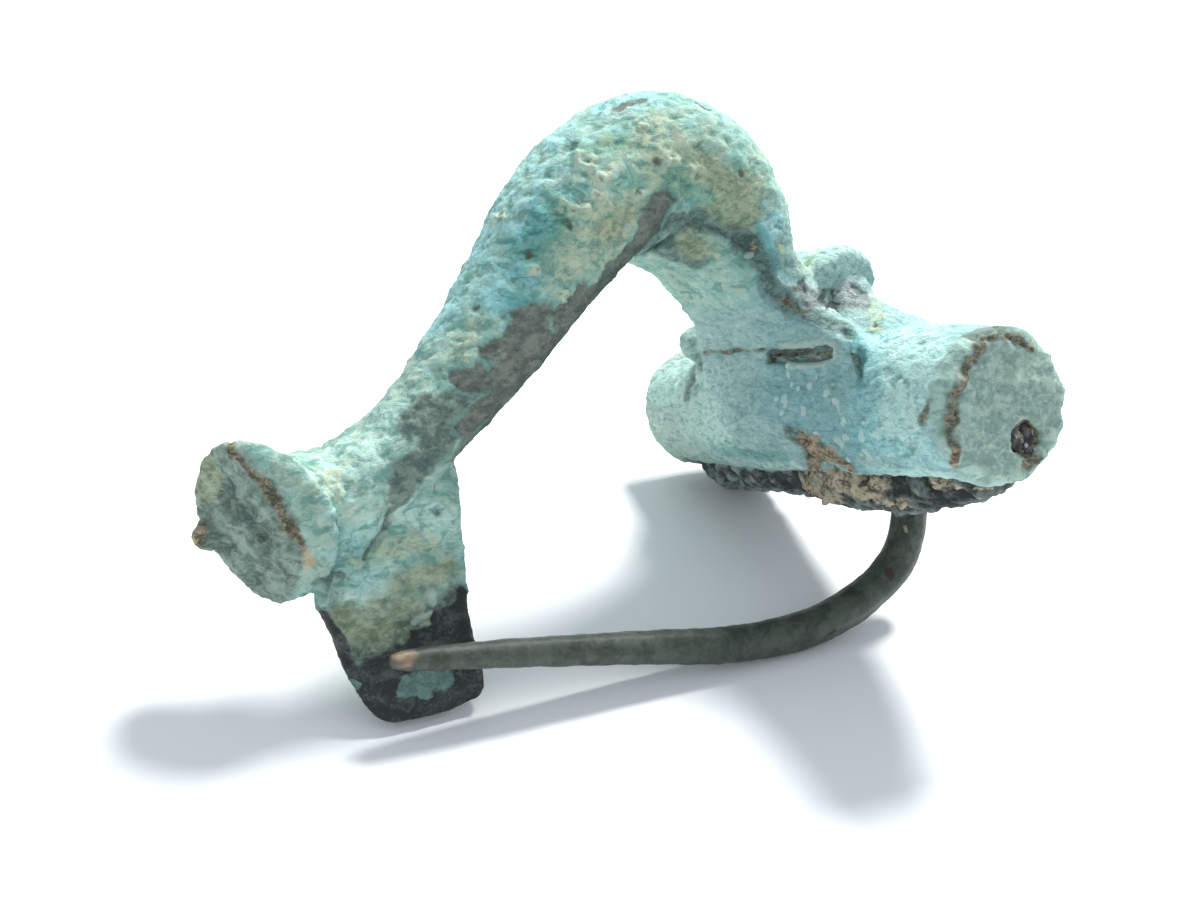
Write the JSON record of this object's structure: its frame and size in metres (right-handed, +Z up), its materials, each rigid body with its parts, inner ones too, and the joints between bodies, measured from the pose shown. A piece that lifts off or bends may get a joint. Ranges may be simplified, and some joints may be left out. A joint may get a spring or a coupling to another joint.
{
  "type": "roman knee brooch (fibula)",
  "caption": "Ancient cast bronze knee brooch with a tubular spring case, a flared foot, a catch plate and a sprung pin, lying on its side.",
  "frame": {"origin": "middle of the brooch's box on the surface it lies on, as it rests on its catch plate, pin and far case end", "axes": "+X from the foot to the spring case, +Y to the end of the case that lies lower, +Z up from the table"},
  "size_m": [0.0366, 0.0256, 0.0243],
  "materials": {
    "patinated_bronze": "matt pale green to teal patina, pitted, with brown and cream patches",
    "dark_bronze_wire": "smooth dark olive patina, bare copper colour at the worn tip",
    "corroded_iron": "dark grey corroded iron with brown crust"
  },
  "bodies": {
    "casting": {"brooch_body": "patinated_bronze", "spring_axis": "corroded_iron"},
    "pin": {"spring_and_pin": "dark_bronze_wire"}
  },
  "joints": [
    {"name": "pin_spring", "type": "hinge", "parent": "casting", "child": "pin", "pos_m": [0.01502, -0.00071, 0.00812], "axis": [0, -0.8821, 0.471], "range_deg": [0, 25], "stiffness_Nm_per_rad": 0.15}
  ]
}
